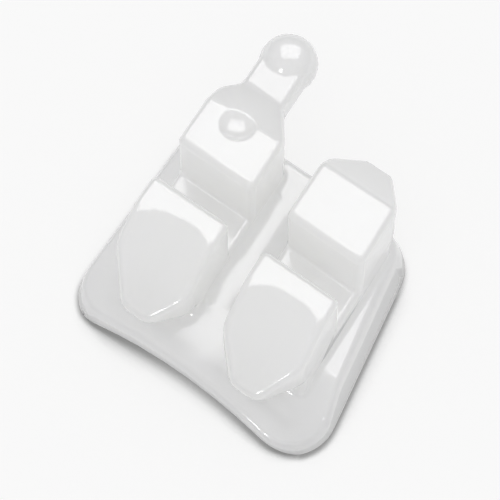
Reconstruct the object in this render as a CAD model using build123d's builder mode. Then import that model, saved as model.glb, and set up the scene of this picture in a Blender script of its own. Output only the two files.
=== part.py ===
"""Twin ceramic orthodontic bracket with a ball hook, modelled as one moulded solid.

Millimetres. The origin lies under the middle of the bonding pad, level with the pad's two side edges.
+X runs along the archwire slot, +Y points to the hook side and +Z points away from the tooth.
"""
import os
from math import cos, radians, sin, sqrt, tan

from build123d import *
from build123d import topo_explore_connected_faces

# Lean of the wing columns away from a right angle to the slot
lean_angle = 8.0

# Archwire slot
slot_depth = 0.85
slot_width = 0.56
slot_floor_rise = 0.18
slot_lip_radius = 0.12
slot_corner_radius = 0.05

# Channel between the two wing columns, with a round floor that flares at both ends
channel_width = 0.56
channel_drop = 0.19
channel_floor_radius = 0.42
channel_end_radius = 0.68
channel_flare = 0.2
channel_length = 2.1

# Wing columns
left_outer = 1.54
right_outer = 1.5
tip_reach = 1.8
tip_end_inner = 0.69
tip_end_outer = 1.12
tip_inner_start = 1.35
tip_outer_start = 1.25
tip_shoulder_radius = 0.35
edge_radius = 0.1

# Wings on the hook side
upper_bend = 1.18
upper_bend_radius = 0.16
upper_angle = 37.0
upper_tip_thickness = 0.28
upper_tip_radius = 0.12

# Wings on the biting side, scooped along their slope
scoop_start = 0.56
scoop_angle = 28.5
scoop_radius = 1.6
scoop_crest_radius = 0.4
lower_tip_thickness = 0.19
lower_tip_radius = 0.25

# Tie grooves under the wings
tie_groove_wall = 1.2
tie_groove_radius = 0.1

# Bonding pad, with its flange outside the columns at each corner
pad_arch_radius = 5.5
pad_arch_rise = 0.29
pad_thickness = 0.38
pad_top_radius = 7.0
pad_lower_edge = 1.94
pad_upper_edge = 1.64
lower_left_flange = 0.57
lower_right_flange = 0.58
upper_left_flange = 0.46
upper_right_flange = 0.2
pad_corner_radius = 0.65
pad_draft = 18.0
pad_rim_radius = 0.12
skirt_start = 0.95
skirt_angle = 15.0
skirt_crease_radius = 0.25
foot_radius = 0.1

# Shallow grooves that key the adhesive under the pad
groove_length = 3.1
groove_width = 0.26
groove_pitch = 0.5
groove_depth = 0.07
groove_count = 6

# Hook arm and ball
ball_diameter = 0.82
ball_x = -1.0
ball_y = 2.39
neck_side_step = 0.06
neck_face_step = 0.185
neck_drop = 0.3
neck_start = 1.7
neck_bend_radius = 0.3
neck_ball_radius = 0.06
hook_bend = 1.06
hook_bend_radius = 0.2
hook_inner_start = 1.15
hook_outer_start = 1.33
neck_shoulder = 1.62

# Marking dimple on the hook wing
dimple_x = -0.95
dimple_y = 0.96
dimple_radius = 0.26
dimple_depth = 0.13
dimple_rim_radius = 0.05

# Construction allowances: overrun of cuts, depth of joins, and what counts as a sharp edge or an upper face
cut_overrun = 0.1
column_join = 0.05
edge_clearance = 0.01
sharp_angle = 12.0
facing_angle = 45.0

# Worked values
lean = tan(radians(lean_angle))
column_inner = channel_width / 2
channel_straight = channel_length - 2 * channel_flare
pad_top = pad_arch_rise + pad_thickness
slot_floor = pad_top + slot_floor_rise
top_height = slot_floor + slot_depth
pad_centre_height = pad_arch_rise - pad_arch_radius
pad_top_at_wall = pad_top - pad_top_radius + sqrt(pad_top_radius**2 - left_outer**2)
column_bottom = (pad_arch_rise + pad_top_at_wall) / 2
cut_reach = tip_reach + cut_overrun
upper_cut_top = top_height - (cut_reach - upper_bend) * tan(radians(upper_angle))
upper_underside = top_height - (tip_reach - upper_bend) * tan(radians(upper_angle)) - upper_tip_thickness
lower_underside = top_height - (tip_reach - scoop_start) * tan(radians(scoop_angle)) - lower_tip_thickness
pad_block_height = pad_top + cut_overrun
pad_lower_left = left_outer + lower_left_flange
pad_lower_right = right_outer + lower_right_flange
pad_upper_left = left_outer + upper_left_flange
pad_upper_right = right_outer + upper_right_flange
neck_width = ball_diameter - 2 * neck_side_step
neck_thickness = ball_diameter - 2 * neck_face_step
neck_top = top_height - neck_drop
neck_underside = neck_top - neck_thickness
ball_z = neck_top - neck_thickness / 2
neck_left = ball_x - neck_width / 2
neck_right = ball_x + neck_width / 2
skirt_at_wall = pad_top - (tie_groove_wall - skirt_start) * tan(radians(skirt_angle))
lower_tie_gap = lower_underside - skirt_at_wall
upper_tie_gap = min(upper_underside, neck_underside) - pad_top
tie_gap_room = min(lower_tie_gap, upper_tie_gap) / 2 - edge_clearance
foot_corner = min(foot_radius, tie_gap_room)


def leaned(x, y):
    """Shift a point along the slot so that the columns lean."""
    return (x - y * lean, y)


def rounded_outline(corners):
    """Draw a closed outline from corners given as two coordinates and a rounding."""
    FilletPolyline(
        [corner[:2] for corner in corners],
        radius=[corner[2] for corner in corners],
        close=True,
    )


def leaned_outline(corners):
    """Draw a closed outline whose corners are moved with the lean."""
    rounded_outline([(*leaned(x, y), radius) for x, y, radius in corners])


def sharp_edges(part):
    """Edges above the column bottom where two faces meet at a clear angle."""
    found = ShapeList()
    for edge in part.edges():
        middle = edge @ 0.5
        first, second = [Face(face) for face in topo_explore_connected_faces(edge, part)]
        turn = first.normal_at(middle).get_angle(second.normal_at(middle))
        above_foot = middle.Z > column_bottom + edge_clearance
        short_of_ball = middle.Y < ball_y - edge_clearance
        if turn > sharp_angle and above_foot and short_of_ball:
            found.append(edge)
    return found


# Directions that follow the lean: along the wings, square to them and up
along_wings = Vector(-lean, 1, 0).normalized()
upward = Vector(0, 0, 1)
square_to_wings = along_wings.cross(upward)


def climbing(angle):
    """Direction that climbs to the hook side at an angle, and the upward normal of such a slope."""
    direction = along_wings * cos(radians(angle)) + upward * sin(radians(angle))
    return direction, square_to_wings.cross(direction)


def scoop_plane(middle):
    """Plane across the scoop of a wing, at its crest and facing down the slope."""
    direction, normal = climbing(scoop_angle)
    crest = Vector(*leaned(middle, -scoop_start), top_height)
    start = crest + normal * scoop_radius + direction * cut_overrun
    return Plane(origin=start, x_dir=square_to_wings, z_dir=-direction)


def scoop_crest(part):
    """Edge where the scoop starts from the flat top of a wing."""
    return part.edges().group_by(Axis.Z)[-1].filter_by(GeomType.ELLIPSE)


# Side view of the slot and the biting-side wing, the same for both columns
shared_side = [
    (tie_groove_wall, column_bottom, 0),
    (-tie_groove_wall, column_bottom, 0),
    (-tie_groove_wall, lower_underside, tie_groove_radius),
    (-cut_reach, lower_underside, 0),
    (-cut_reach, top_height, 0),
    (-slot_width / 2, top_height, slot_lip_radius),
    (-slot_width / 2, slot_floor, slot_corner_radius),
    (slot_width / 2, slot_floor, slot_corner_radius),
    (slot_width / 2, top_height, slot_lip_radius),
]

# Right column with two plain wings
with BuildPart() as right_column:
    with BuildSketch(Plane.YZ):
        with BuildLine():
            rounded_outline(
                shared_side
                + [
                    (upper_bend, top_height, upper_bend_radius),
                    (cut_reach, upper_cut_top, 0),
                    (cut_reach, upper_underside, 0),
                    (tie_groove_wall, upper_underside, tie_groove_radius),
                ]
            )
        make_face()
    extrude(amount=2 * right_outer)
    with BuildSketch():
        with BuildLine():
            leaned_outline(
                [
                    (column_inner, -tip_inner_start, tip_shoulder_radius),
                    (tip_end_inner, -tip_reach, lower_tip_radius),
                    (tip_end_outer, -tip_reach, lower_tip_radius),
                    (right_outer, -tip_outer_start, tip_shoulder_radius),
                    (right_outer, tip_outer_start, tip_shoulder_radius),
                    (tip_end_outer, tip_reach, upper_tip_radius),
                    (tip_end_inner, tip_reach, upper_tip_radius),
                    (column_inner, tip_inner_start, tip_shoulder_radius),
                ]
            )
        make_face()
    extrude(amount=2 * top_height, mode=Mode.INTERSECT)
    with BuildSketch(scoop_plane((column_inner + right_outer) / 2)):
        Circle(scoop_radius)
    extrude(amount=2 * cut_reach, mode=Mode.SUBTRACT)
    fillet(scoop_crest(right_column.part), scoop_crest_radius)
    fillet(sharp_edges(right_column.part), edge_radius)

# Left column with one plain wing and the hook arm
with BuildPart() as left_column:
    with BuildSketch(Plane.YZ):
        with BuildLine():
            rounded_outline(
                shared_side
                + [
                    (hook_bend, top_height, hook_bend_radius),
                    (neck_start, neck_top, neck_bend_radius),
                    (ball_y + cut_overrun, neck_top, 0),
                    (ball_y + cut_overrun, neck_underside, 0),
                    (tie_groove_wall, neck_underside, tie_groove_radius),
                ]
            )
        make_face()
    extrude(amount=-2 * left_outer)
    with BuildSketch():
        with BuildLine():
            leaned_outline(
                [
                    (-column_inner, -tip_inner_start, tip_shoulder_radius),
                    (-tip_end_inner, -tip_reach, lower_tip_radius),
                    (-tip_end_outer, -tip_reach, lower_tip_radius),
                    (-left_outer, -tip_outer_start, tip_shoulder_radius),
                    (-left_outer, hook_outer_start, tip_shoulder_radius),
                    (neck_left, neck_shoulder, neck_bend_radius),
                    (neck_left, ball_y, 0),
                    (neck_right, ball_y, 0),
                    (neck_right, neck_start, neck_bend_radius),
                    (-column_inner, hook_inner_start, tip_shoulder_radius),
                ]
            )
        make_face()
    extrude(amount=2 * top_height, mode=Mode.INTERSECT)
    with BuildSketch(scoop_plane(-(column_inner + left_outer) / 2)):
        Circle(scoop_radius)
    extrude(amount=2 * cut_reach, mode=Mode.SUBTRACT)
    fillet(scoop_crest(left_column.part), scoop_crest_radius)
    fillet(sharp_edges(left_column.part), edge_radius)

# Bonding pad, arched to sit on a tooth, with a skirt that falls away on the biting side
arch_plane = Plane(
    origin=(*leaned(0, -2 * pad_lower_edge), 0),
    x_dir=-square_to_wings,
    z_dir=along_wings,
)
arch_length = 4 * pad_lower_edge
skirt_direction, skirt_normal = climbing(skirt_angle)
skirt_crease = Vector(*leaned(0, -skirt_start), pad_top)
skirt_plane = Plane(
    origin=skirt_crease - skirt_normal * pad_top_radius,
    x_dir=square_to_wings,
    z_dir=skirt_direction,
)
with BuildPart() as pad:
    with BuildSketch() as pad_outline:
        with BuildLine():
            leaned_outline(
                [
                    (-pad_lower_left, -pad_lower_edge, pad_corner_radius),
                    (pad_lower_right, -pad_lower_edge, pad_corner_radius),
                    (pad_upper_right, pad_upper_edge, pad_corner_radius),
                    (-pad_upper_left, pad_upper_edge, pad_corner_radius),
                ]
            )
        make_face()
    with BuildSketch(Plane.XY.offset(pad_block_height)):
        add(pad_outline.sketch)
        offset(amount=-pad_block_height * tan(radians(pad_draft)), mode=Mode.REPLACE)
    loft()
    with BuildSketch(arch_plane):
        with Locations((0, pad_top - pad_top_radius)):
            Circle(pad_top_radius)
        with Locations((0, pad_centre_height)):
            Circle(pad_arch_radius, mode=Mode.SUBTRACT)
    extrude(amount=arch_length, mode=Mode.INTERSECT)
    with BuildSketch(skirt_plane):
        Circle(pad_top_radius)
    extrude(amount=arch_length / 2, both=True, mode=Mode.INTERSECT)
    fillet(pad.edges().sort_by_distance(skirt_crease)[0], skirt_crease_radius)
    pad_tops = pad.faces().filter_by(lambda face: face.normal_at().get_angle(upward) < facing_angle)
    pad_rim = pad_tops.edges().filter_by(lambda edge: sum(edge in face.edges() for face in pad_tops) == 1)
    fillet(pad_rim, pad_rim_radius)

# Channel floor, hollowed along the lean
channel_axis_height = slot_floor - channel_drop + channel_floor_radius
channel_plane = Plane(
    origin=(0, 0, channel_axis_height),
    x_dir=along_wings,
    z_dir=square_to_wings,
)
with BuildPart() as channel_floor:
    with BuildSketch(Plane.XY.offset(column_bottom)):
        with BuildLine():
            leaned_outline(
                [
                    (-column_inner - column_join, -channel_length / 2, 0),
                    (column_inner + column_join, -channel_length / 2, 0),
                    (column_inner + column_join, channel_length / 2, 0),
                    (-column_inner - column_join, channel_length / 2, 0),
                ]
            )
        make_face()
    extrude(amount=channel_axis_height - column_bottom)
    with BuildSketch(channel_plane):
        with BuildLine():
            straight_end = (channel_straight / 2, channel_floor_radius)
            straight_start = (-channel_straight / 2, channel_floor_radius)
            flare_end = (channel_length / 2, channel_end_radius)
            flare_start = (-channel_length / 2, channel_end_radius)
            cut_end = channel_length / 2 + cut_overrun
            Line(straight_start, straight_end)
            TangentArc(straight_end, flare_end, tangent=(1, 0))
            TangentArc(straight_start, flare_start, tangent=(-1, 0))
            Polyline(
                flare_start,
                (-cut_end, channel_end_radius),
                (-cut_end, 0),
                (cut_end, 0),
                (cut_end, channel_end_radius),
                flare_end,
            )
        make_face()
    revolve(axis=Axis((0, 0, channel_axis_height), along_wings), mode=Mode.SUBTRACT)

# Adhesive grooves, cut to one depth below the arch
groove_middle = (pad_upper_edge - pad_lower_edge) / 2
groove_rows = [groove_middle + (row - (groove_count - 1) / 2) * groove_pitch for row in range(groove_count)]
with BuildPart() as grooves:
    with BuildSketch():
        with Locations([leaned(0, y) for y in groove_rows]):
            SlotOverall(groove_length, groove_width)
    extrude(amount=pad_block_height)
    with BuildSketch(arch_plane):
        with Locations((0, pad_centre_height)):
            Circle(pad_arch_radius + groove_depth)
    extrude(amount=arch_length, mode=Mode.INTERSECT)

# The whole bracket as one solid
dimple_sphere = (dimple_radius**2 + dimple_depth**2) / (2 * dimple_depth)
with BuildPart() as bracket:
    add(pad.part)
    add(right_column.part)
    add(left_column.part)
    feet = new_edges(pad.part, right_column.part, left_column.part, combined=bracket.part)
    fillet(feet, foot_corner)
    add(channel_floor.part)
    body = bracket.part
    with Locations((*leaned(ball_x, ball_y), ball_z)):
        ball = Sphere(ball_diameter / 2)
    fillet(new_edges(body, ball, combined=bracket.part), neck_ball_radius)
    with Locations((*leaned(dimple_x, dimple_y), top_height - dimple_depth + dimple_sphere)):
        Sphere(dimple_sphere, mode=Mode.SUBTRACT)
    dimple_rim = bracket.edges().filter_by(GeomType.CIRCLE).group_by(Axis.Z)[-1]
    fillet(dimple_rim, dimple_rim_radius)
    add(grooves.part, mode=Mode.SUBTRACT)

bracket.part.label = "bracket"
os.makedirs("parts", exist_ok=True)
export_step(bracket.part, "parts/bracket.step")
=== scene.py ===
"""Studio look of a ceramic orthodontic bracket, laid out as an add-on."""

import math

import bpy
from mathutils import Matrix, Vector


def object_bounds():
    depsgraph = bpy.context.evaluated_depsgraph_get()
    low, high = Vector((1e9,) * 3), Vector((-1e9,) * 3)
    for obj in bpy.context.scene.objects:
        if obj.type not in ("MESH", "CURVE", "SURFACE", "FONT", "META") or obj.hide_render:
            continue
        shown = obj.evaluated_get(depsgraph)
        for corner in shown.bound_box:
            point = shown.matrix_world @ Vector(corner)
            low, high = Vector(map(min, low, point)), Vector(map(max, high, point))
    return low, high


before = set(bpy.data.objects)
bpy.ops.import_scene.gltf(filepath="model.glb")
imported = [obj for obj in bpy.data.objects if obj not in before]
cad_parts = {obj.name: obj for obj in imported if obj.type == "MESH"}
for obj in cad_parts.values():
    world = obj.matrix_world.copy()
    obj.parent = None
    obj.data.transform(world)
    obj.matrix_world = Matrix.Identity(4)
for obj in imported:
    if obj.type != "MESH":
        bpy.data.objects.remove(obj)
cad_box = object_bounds()

bl_info = {
    "name": "Ceramic bracket look",
    "version": (1, 0, 0),
    "blender": (4, 5, 0),
    "location": "3D View > Sidebar > Bracket",
    "description": "Finishes the ceramic bracket and sets its studio stage",
    "category": "Object",
}

MM = 0.001

# Camera, worked out from the wing corners in the photograph
PHOTO_SIZE = 500
FOCAL_PIXELS = 2188.33
SENSOR_WIDTH = 36.0
CAMERA_AZIMUTH = math.radians(38.053)
CAMERA_ELEVATION = math.radians(62.0)
CAMERA_DISTANCE = 28.049 * MM
CAMERA_TARGET = Vector((0.205 * MM, -0.433 * MM, cad_box[1][2]))
CAMERA_RIGHT = Vector((math.cos(CAMERA_AZIMUTH), math.sin(CAMERA_AZIMUTH), 0))
CAMERA_FAR = Vector((-math.sin(CAMERA_AZIMUTH), math.cos(CAMERA_AZIMUTH), 0))
CAMERA_BACK = CAMERA_FAR * -math.cos(CAMERA_ELEVATION) + Vector((0, 0, math.sin(CAMERA_ELEVATION)))

# Ceramic
ALUMINA_IOR = 1.76
SCATTER_SHARES = (1.0, 1.0, 0.95)
POLISHED_ROUGHNESS = (0.1, 0.18)
BLASTED_ROUGHNESS = 0.6
BLASTED_FACING = (-0.5, -0.7)
TOOTH_DEPTH = 0.0001 * MM
BLAST_DEPTH = 0.004 * MM
SEAM_WIDTH = 0.0005 * MM
LARGE_FACE_WEIGHT = 60

# Floor, shifted so that the seam between its two triangles runs outside the picture
FLOOR_SIZE = 4.0
FLOOR_SHIFT = 0.5
FLOOR_DROP = 0.001 * MM
PAPER_ALBEDO = 0.4
PAPER_GLOW = 0.63
PAPER_WHITE = 0.94

# Painted contact shadow, darkened into the paper's glow by ambient occlusion: how far it reaches, and the
# open share of light at which it is full and gone
CONTACT_LEAN = 40.0
UNDER_ARCH_REACH = 0.65 * MM
UNDER_ARCH_OPEN = (0.45, 0.76)
RIM_REACH = 0.13 * MM
RIM_OPEN = (0.55, 0.95)

# Lights
HORIZON_GREY = 0.4
WALL_HEIGHT = 0.6
LAMP_DISTANCE = 160 * MM
OVERHEAD_LEAN = (7.5, 18.0)
OVERHEAD_SIZE = (220 * MM, 184 * MM)
FILL_SIZE = (160 * MM, 160 * MM)
SPARKLE_AIM = CAMERA_FAR * -0.8 + CAMERA_RIGHT * -0.5 + Vector((0, 0, 0.5))
SPARKLE_SIZE = (24 * MM, 24 * MM)
OBJECT_MIDDLE = Vector((0, 0, cad_box[1][2] / 2))


def linear(code):
    """Linear colour of an sRGB hex code such as #f2f1ee."""
    channels = [int(code[i : i + 2], 16) / 255 for i in (1, 3, 5)]
    return [c / 12.92 if c <= 0.04045 else ((c + 0.055) / 1.055) ** 2.4 for c in channels]


def add_node(tree, kind, links=None, inputs=None, **settings):
    """Add a shader node, set its properties and inputs, and link what feeds it."""
    node = tree.nodes.new(kind)
    for name, value in settings.items():
        setattr(node, name, value)
    for name, value in (inputs or {}).items():
        node.inputs[name].default_value = value
    for name, source in (links or {}).items():
        tree.links.new(source, node.inputs[name])
    return node


def aimed(right, far):
    """Direction that leans from straight up by angles to the camera's right and away from it."""
    return (
        CAMERA_RIGHT * math.tan(math.radians(right))
        + CAMERA_FAR * math.tan(math.radians(far))
        + Vector((0, 0, 1))
    )


def empty_tree(owner):
    """Node tree of a new material or world, without its default nodes."""
    owner.use_nodes = True
    owner.node_tree.nodes.clear()
    return owner.node_tree


class BracketSettings(bpy.types.PropertyGroup):
    """Look of the ceramic."""

    pale: bpy.props.FloatVectorProperty(
        name="Pale ceramic",
        description="Colour of the dense, pale clouds in the alumina",
        subtype="COLOR",
        size=3,
        default=linear("#fdfdfb"),
    )
    deep: bpy.props.FloatVectorProperty(
        name="Deep ceramic",
        description="Colour of the slightly clearer clouds in the alumina",
        subtype="COLOR",
        size=3,
        default=linear("#f8f8f6"),
    )
    scatter: bpy.props.FloatProperty(
        name="Scatter depth",
        description="How far light travels inside the ceramic",
        default=2.0 * MM,
        unit="LENGTH",
    )
    cloud: bpy.props.FloatProperty(
        name="Cloud size",
        description="Width of the pale and deep clouds inside the ceramic",
        default=0.7 * MM,
        unit="LENGTH",
    )
    ripple: bpy.props.FloatProperty(
        name="Ripple width",
        description="Width of the faint waves left by moulding and polishing",
        default=0.3 * MM,
        unit="LENGTH",
    )
    ripple_height: bpy.props.FloatProperty(
        name="Ripple height",
        description="Height of the faint waves left by moulding and polishing",
        default=0.0016 * MM,
        unit="LENGTH",
    )
    grain: bpy.props.FloatProperty(
        name="Grain size",
        description="Width of the drawn surface grain",
        default=0.05 * MM,
        unit="LENGTH",
    )
    base: bpy.props.FloatProperty(
        name="Bonding face limit",
        description="Height below which faces that look down are sandblasted for the adhesive",
        default=0.5 * MM,
        unit="LENGTH",
    )


class StageSettings(bpy.types.PropertyGroup):
    """Floor, lights and camera."""

    surround: bpy.props.FloatProperty(
        name="Surround",
        description="Brightness of the pale studio that shades the object",
        default=0.76,
    )
    walls: bpy.props.FloatProperty(
        name="Walls",
        description="Brightness of the studio seen in the gloss",
        default=1.0,
    )
    table: bpy.props.FloatProperty(
        name="Table",
        description="Brightness of the lit table that shades the object from below",
        default=0.62,
    )
    softbox: bpy.props.FloatProperty(
        name="Softbox",
        description="Radiance of the overhead softbox seen in the gloss",
        default=1.82,
    )
    key: bpy.props.FloatProperty(
        name="Key",
        description="Radiance of the overhead softbox that shades the object",
        default=0.2,
    )
    fill: bpy.props.FloatProperty(
        name="Fill",
        description="Radiance of the broad fill beside the camera",
        default=0.12,
    )
    sparkle: bpy.props.FloatProperty(
        name="Sparkle",
        description="Radiance of the small low lamp that glints on rounded edges",
        default=14.0,
    )


def ceramic_material(settings):
    """Polished alumina: white, slightly translucent, with a sharp clear reflection."""
    material = bpy.data.materials.new("polished white alumina")
    tree = empty_tree(material)
    coordinates = add_node(tree, "ShaderNodeTexCoord")
    place = coordinates.outputs["Object"]

    # The bonding face: it looks down and lies below the wings
    height = add_node(tree, "ShaderNodeSeparateXYZ", {"Vector": place})
    facing = add_node(tree, "ShaderNodeSeparateXYZ", {"Vector": coordinates.outputs["Normal"]})
    low = add_node(
        tree, "ShaderNodeMath", {0: height.outputs["Z"]}, {1: settings.base}, operation="LESS_THAN"
    )
    down = add_node(
        tree,
        "ShaderNodeMapRange",
        {"Value": facing.outputs["Z"]},
        {"From Min": BLASTED_FACING[0], "From Max": BLASTED_FACING[1]},
    )
    blasted = add_node(
        tree,
        "ShaderNodeMath",
        {0: low.outputs[0], 1: down.outputs["Result"]},
        operation="MULTIPLY",
    )

    # Soft clouds of denser and clearer ceramic under the surface
    clouds = add_node(
        tree, "ShaderNodeTexNoise", {"Vector": place}, {"Scale": 1 / settings.cloud, "Detail": 3.0}
    )
    tone = add_node(
        tree,
        "ShaderNodeMix",
        {"Factor": clouds.outputs["Fac"]},
        {"A": (*settings.pale, 1), "B": (*settings.deep, 1)},
        data_type="RGBA",
    )

    # Real grains are a few microns wide, so they are drawn coarser to stay visible as a faint tooth
    grain = add_node(
        tree, "ShaderNodeTexNoise", {"Vector": place}, {"Scale": 1 / settings.grain, "Detail": 2.0}
    )
    polish = add_node(
        tree,
        "ShaderNodeMapRange",
        {"Value": grain.outputs["Fac"]},
        {"To Min": POLISHED_ROUGHNESS[0], "To Max": POLISHED_ROUGHNESS[1]},
    )
    gloss = add_node(
        tree,
        "ShaderNodeMix",
        {"Factor": blasted.outputs[0], "A": polish.outputs["Result"]},
        {"B": BLASTED_ROUGHNESS},
    )

    # Faint waves that make the edges of reflections wander
    ripple = add_node(
        tree, "ShaderNodeTexNoise", {"Vector": place}, {"Scale": 1 / settings.ripple, "Detail": 1.0}
    )
    waves = add_node(
        tree, "ShaderNodeBump", {"Height": ripple.outputs["Fac"]}, {"Distance": settings.ripple_height}
    )
    tooth = add_node(
        tree,
        "ShaderNodeBump",
        {"Height": grain.outputs["Fac"], "Normal": waves.outputs["Normal"]},
        {"Distance": TOOTH_DEPTH},
    )
    blast = add_node(
        tree,
        "ShaderNodeBump",
        {
            "Height": grain.outputs["Fac"],
            "Strength": blasted.outputs[0],
            "Normal": tooth.outputs["Normal"],
        },
        {"Distance": BLAST_DEPTH},
    )
    shader = add_node(
        tree,
        "ShaderNodeBsdfPrincipled",
        {
            "Base Color": tone.outputs["Result"],
            "Roughness": gloss.outputs["Result"],
            "Normal": blast.outputs["Normal"],
        },
        {
            "IOR": ALUMINA_IOR,
            "Subsurface Weight": 1.0,
            "Subsurface Radius": SCATTER_SHARES,
            "Subsurface Scale": settings.scatter,
        },
        subsurface_method="RANDOM_WALK",
    )
    add_node(tree, "ShaderNodeOutputMaterial", {"Surface": shader.outputs["BSDF"]})
    return material


def painted_shadow_share(tree, towards, reach, limits):
    """Share of the light that nothing within reach keeps from the paper, stretched between limits, used to
    paint the contact shadow into the paper's glow.
    """
    free = add_node(tree, "ShaderNodeAmbientOcclusion", {"Normal": towards}, {"Distance": reach})
    stretched = add_node(
        tree,
        "ShaderNodeMapRange",
        {"Value": free.outputs["AO"]},
        {"From Min": limits[0], "From Max": limits[1]},
        interpolation_type="SMOOTHSTEP",
    )
    return stretched.outputs["Result"]


def paper_material(look):
    """Matt white paper on a lit table: a soft shadow, a painted dark line of contact shadow in its glow,
    and light from below.
    """
    material = bpy.data.materials.new("matt white paper on a lit table")
    tree = empty_tree(material)
    sheet = add_node(tree, "ShaderNodeBsdfDiffuse", inputs={"Color": (*[PAPER_ALBEDO] * 3, 1)})
    lean = aimed(0, CONTACT_LEAN).normalized()
    towards = add_node(tree, "ShaderNodeCombineXYZ", inputs={"X": lean.x, "Y": lean.y, "Z": lean.z})

    # Painted contact shadow: ambient occlusion near the object darkens the paper's glow
    under_arch = painted_shadow_share(tree, towards.outputs["Vector"], UNDER_ARCH_REACH, UNDER_ARCH_OPEN)
    at_rim = painted_shadow_share(tree, towards.outputs["Vector"], RIM_REACH, RIM_OPEN)
    painted_shadow_mask = add_node(tree, "ShaderNodeMath", {0: under_arch, 1: at_rim}, operation="MULTIPLY")
    painted_shadow_level = add_node(tree, "ShaderNodeMath", {0: painted_shadow_mask.outputs[0]}, {1: PAPER_GLOW}, operation="MULTIPLY")
    glow_with_painted_shadow = add_node(tree, "ShaderNodeEmission", {"Strength": painted_shadow_level.outputs[0]})
    seen = add_node(tree, "ShaderNodeAddShader", {0: sheet.outputs[0], 1: glow_with_painted_shadow.outputs[0]})
    path = add_node(tree, "ShaderNodeLightPath")
    below = add_node(
        tree,
        "ShaderNodeMapRange",
        {"Value": path.outputs["Is Glossy Ray"]},
        {"To Min": look.table, "To Max": PAPER_WHITE},
    )
    table = add_node(tree, "ShaderNodeEmission", {"Strength": below.outputs["Result"]})
    mix = add_node(
        tree,
        "ShaderNodeMixShader",
        {0: path.outputs["Is Camera Ray"], 1: table.outputs[0], 2: seen.outputs[0]},
    )

    # Clear from below, so that the bonding face can be looked at
    side = add_node(tree, "ShaderNodeNewGeometry")
    clear = add_node(tree, "ShaderNodeBsdfTransparent")
    one_way = add_node(
        tree,
        "ShaderNodeMixShader",
        {0: side.outputs["Backfacing"], 1: mix.outputs[0], 2: clear.outputs[0]},
    )
    add_node(tree, "ShaderNodeOutputMaterial", {"Surface": one_way.outputs[0]})
    return material


def studio_world(look):
    """Pale studio: even where it shades, and dark at the horizon where it is mirrored."""
    world = bpy.data.worlds.new("pale studio")
    tree = empty_tree(world)
    place = add_node(tree, "ShaderNodeTexCoord")
    height = add_node(tree, "ShaderNodeSeparateXYZ", {"Vector": place.outputs["Generated"]})
    ramp = add_node(tree, "ShaderNodeValToRGB", {"Fac": height.outputs["Z"]})
    dark, bright = ramp.color_ramp.elements
    dark.position = 0.0
    dark.color = (*[HORIZON_GREY] * 3, 1)
    bright.position = WALL_HEIGHT
    bright.color = (1, 1, 1, 1)
    mirrored = add_node(
        tree, "ShaderNodeBackground", {"Color": ramp.outputs["Color"]}, {"Strength": look.walls}
    )
    even = add_node(tree, "ShaderNodeBackground", inputs={"Color": (1, 1, 1, 1), "Strength": look.surround})
    path = add_node(tree, "ShaderNodeLightPath")
    mix = add_node(
        tree,
        "ShaderNodeMixShader",
        {0: path.outputs["Is Glossy Ray"], 1: even.outputs[0], 2: mirrored.outputs[0]},
    )
    add_node(tree, "ShaderNodeOutputWorld", {"Surface": mix.outputs[0]})
    return world


def add_softbox(name, aim, size, radiance, gloss, shade):
    """Add a rectangular lamp that looks along an aim at the middle of the object."""
    width, height = size
    lamp = bpy.data.lights.new(name, "AREA")
    lamp.shape = "RECTANGLE"
    lamp.size = width
    lamp.size_y = height
    lamp.energy = radiance * 4 * width * height
    box = bpy.data.objects.new(name, lamp)
    depth = aim.normalized()
    across = (CAMERA_RIGHT - depth * CAMERA_RIGHT.dot(depth)).normalized()
    turn = Matrix((across, depth.cross(across), depth)).transposed()
    box.matrix_world = Matrix.Translation(OBJECT_MIDDLE + depth * LAMP_DISTANCE) @ turn.to_4x4()
    box.visible_glossy = gloss
    box.visible_diffuse = shade
    bpy.context.scene.collection.objects.link(box)


class BRACKET_OT_body(bpy.types.Operator):
    """Finish the moulded ceramic body"""

    bl_idname = "bracket.body"
    bl_label = "Ceramic body"

    def execute(self, context):
        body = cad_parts["bracket"]
        body.data.materials.clear()
        body.data.materials.append(ceramic_material(context.scene.bracket_look))
        weld = body.modifiers.new("join seams", "WELD")
        weld.merge_threshold = SEAM_WIDTH
        normals = body.modifiers.new("even shading", "WEIGHTED_NORMAL")
        normals.mode = "FACE_AREA"
        normals.weight = LARGE_FACE_WEIGHT
        return {"FINISHED"}


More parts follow.
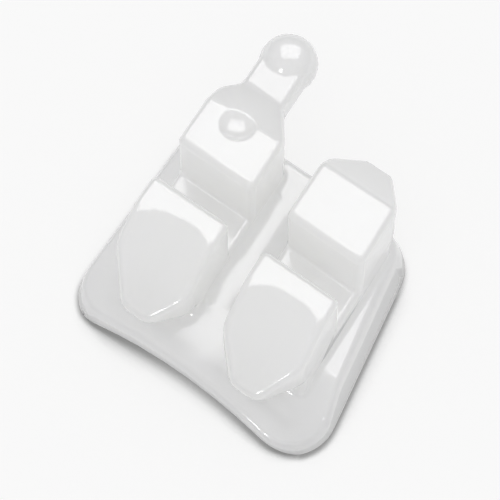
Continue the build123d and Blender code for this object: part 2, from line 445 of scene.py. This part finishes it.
class BRACKET_OT_stage(bpy.types.Operator):
    """Set the floor, the lights and the camera"""

    bl_idname = "bracket.stage"
    bl_label = "Studio stage"

    def execute(self, context):
        scene = context.scene
        look = scene.bracket_stage
        bpy.ops.mesh.primitive_plane_add(size=FLOOR_SIZE, location=(FLOOR_SHIFT, 0, -FLOOR_DROP))
        floor = context.object
        floor.name = "studio_floor"
        floor.data.materials.append(paper_material(look))

        lens = bpy.data.cameras.new("camera")
        lens.sensor_width = SENSOR_WIDTH
        lens.lens = FOCAL_PIXELS / PHOTO_SIZE * SENSOR_WIDTH
        lens.clip_start = 1 * MM
        camera = bpy.data.objects.new("camera", lens)
        camera.location = CAMERA_TARGET + CAMERA_BACK * CAMERA_DISTANCE
        camera.rotation_euler = CAMERA_BACK.to_track_quat("Z", "Y").to_euler()
        scene.collection.objects.link(camera)
        scene.camera = camera

        overhead = aimed(*OVERHEAD_LEAN)
        add_softbox("overhead softbox", overhead, OVERHEAD_SIZE, look.softbox, gloss=True, shade=False)
        add_softbox("overhead key", overhead, OVERHEAD_SIZE, look.key, gloss=False, shade=True)
        add_softbox("front fill", CAMERA_BACK, FILL_SIZE, look.fill, gloss=False, shade=True)
        add_softbox("sparkle", SPARKLE_AIM, SPARKLE_SIZE, look.sparkle, gloss=True, shade=False)

        scene.world = studio_world(look)
        scene.view_settings.view_transform = "Standard"
        return {"FINISHED"}


class BRACKET_PT_panel(bpy.types.Panel):
    bl_label = "Bracket"
    bl_idname = "BRACKET_PT_panel"
    bl_space_type = "VIEW_3D"
    bl_region_type = "UI"
    bl_category = "Bracket"

    def draw(self, context):
        column = self.layout.column()
        for name in BracketSettings.__annotations__:
            column.prop(context.scene.bracket_look, name)
        column.operator("bracket.body")
        for name in StageSettings.__annotations__:
            column.prop(context.scene.bracket_stage, name)
        column.operator("bracket.stage")


CLASSES = (BracketSettings, StageSettings, BRACKET_OT_body, BRACKET_OT_stage, BRACKET_PT_panel)


def register():
    for cls in CLASSES:
        bpy.utils.register_class(cls)
    bpy.types.Scene.bracket_look = bpy.props.PointerProperty(type=BracketSettings)
    bpy.types.Scene.bracket_stage = bpy.props.PointerProperty(type=StageSettings)


def unregister():
    del bpy.types.Scene.bracket_stage
    del bpy.types.Scene.bracket_look
    for cls in reversed(CLASSES):
        bpy.utils.unregister_class(cls)


def main():
    register()
    bpy.ops.bracket.body()
    bpy.ops.bracket.stage()


if __name__ == "__main__":
    main()
